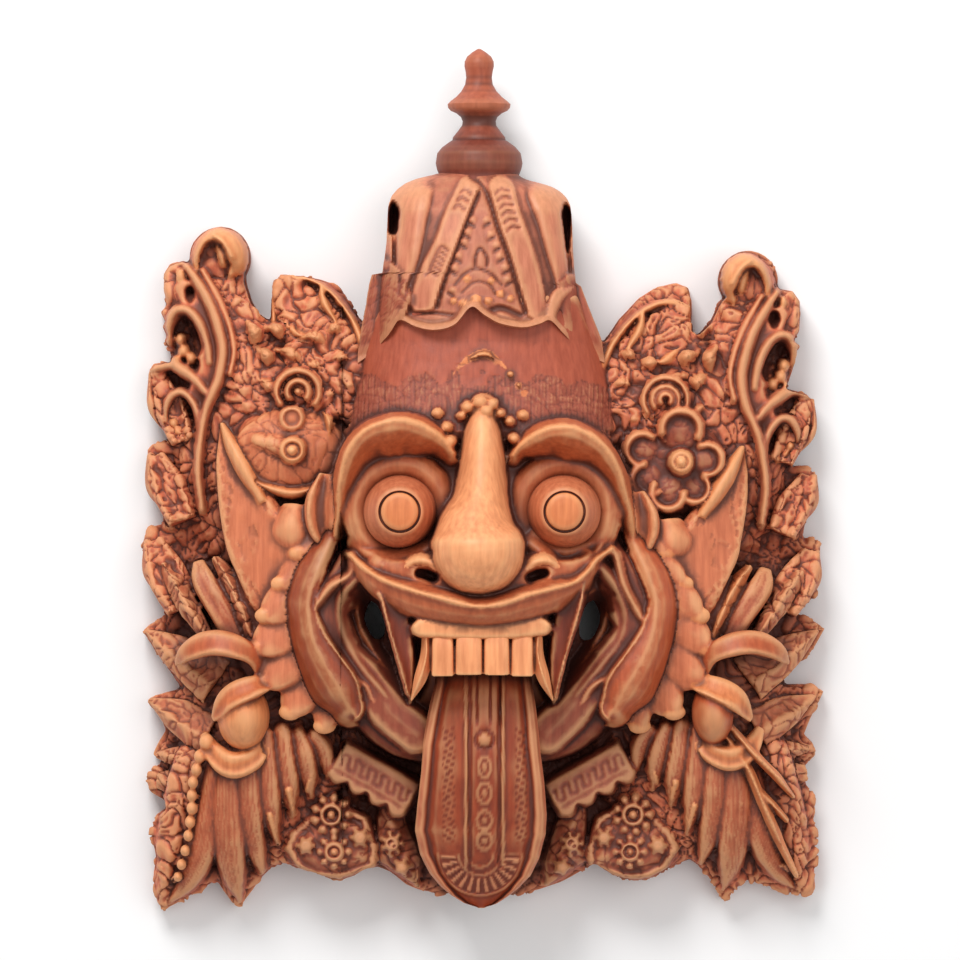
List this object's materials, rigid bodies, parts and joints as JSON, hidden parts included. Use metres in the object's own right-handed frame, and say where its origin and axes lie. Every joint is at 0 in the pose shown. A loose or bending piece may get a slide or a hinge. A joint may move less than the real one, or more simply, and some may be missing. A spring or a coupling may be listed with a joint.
{
  "type": "carved wooden wall mask",
  "caption": "Wall mask carved from one block of wood: a staring demon face with fangs and a long tongue, a pointed crown and leafy wings, hollow behind the face.",
  "frame": {"origin": "on the flat sawn back, in the middle of the mask's outline", "axes": "+X to the right of someone who looks at the face, +Y towards the crown's finial, +Z out of the face; the mask lies on its back"},
  "size_m": [0.3462, 0.4332, 0.1318],
  "materials": {
    "carved_wood": "reddish-brown tropical hardwood, oiled and rubbed: satin on the smooth forms, matte and darker in the cuts, paler gold-brown on the worn ridges"
  },
  "bodies": {
    "root": {"mask_carving": "carved_wood"}
  },
  "joints": []
}
